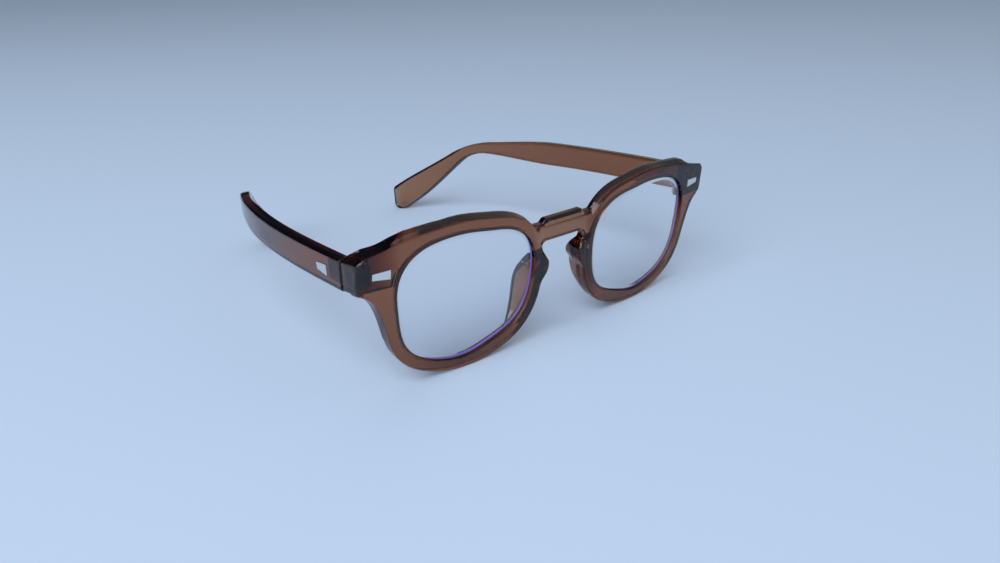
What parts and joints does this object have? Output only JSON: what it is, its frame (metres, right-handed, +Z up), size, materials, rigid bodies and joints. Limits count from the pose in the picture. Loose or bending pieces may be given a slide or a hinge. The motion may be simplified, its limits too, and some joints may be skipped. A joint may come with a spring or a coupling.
{
  "type": "glasses",
  "caption": "Clear brown plastic spectacle frame with rounded square lenses, a keyhole bridge, moulded nose pads, silver end plaques and two folding temples.",
  "frame": {"origin": "centre of the open glasses' box, on the table they stand on", "axes": "+X the wearer's left, -Y the way the wearer looks, +Z up; the pair mirrors about the X axis's middle plane"},
  "size_m": [0.1446, 0.1489, 0.0481],
  "materials": {
    "front_plastic": "clear brown, polished",
    "temple_plastic": "clear brown, polished",
    "lens_clear": "clear, coated",
    "plaque_metal": "fine diagonal hatch",
    "hinge_metal": "satin",
    "screw_metal": "polished"
  },
  "bodies": {
    "front": {"front_frame": "front_plastic", "lens_left": "lens_clear", "lens_right": "lens_clear", "front_plaque_left": "plaque_metal", "front_plaque_right": "plaque_metal", "front_hinge_left": "hinge_metal", "front_hinge_right": "hinge_metal", "hinge_screw_left": "screw_metal", "hinge_screw_right": "screw_metal"},
    "left_temple_arm": {"temple_left": "temple_plastic", "temple_plaque_left": "plaque_metal", "temple_hinge_left": "hinge_metal"},
    "right_temple_arm": {"temple_right": "temple_plastic", "temple_plaque_right": "plaque_metal", "temple_hinge_right": "hinge_metal"}
  },
  "joints": [
    {"name": "left_temple_fold", "type": "hinge", "parent": "front", "child": "left_temple_arm", "pos_m": [0.0668, -0.0613, 0.0365], "axis": [0, 0, 1], "range_deg": [0, 78]},
    {"name": "right_temple_fold", "type": "hinge", "parent": "front", "child": "right_temple_arm", "pos_m": [-0.0668, -0.0613, 0.0365], "axis": [0, 0, -1], "range_deg": [0, 66]}
  ]
}
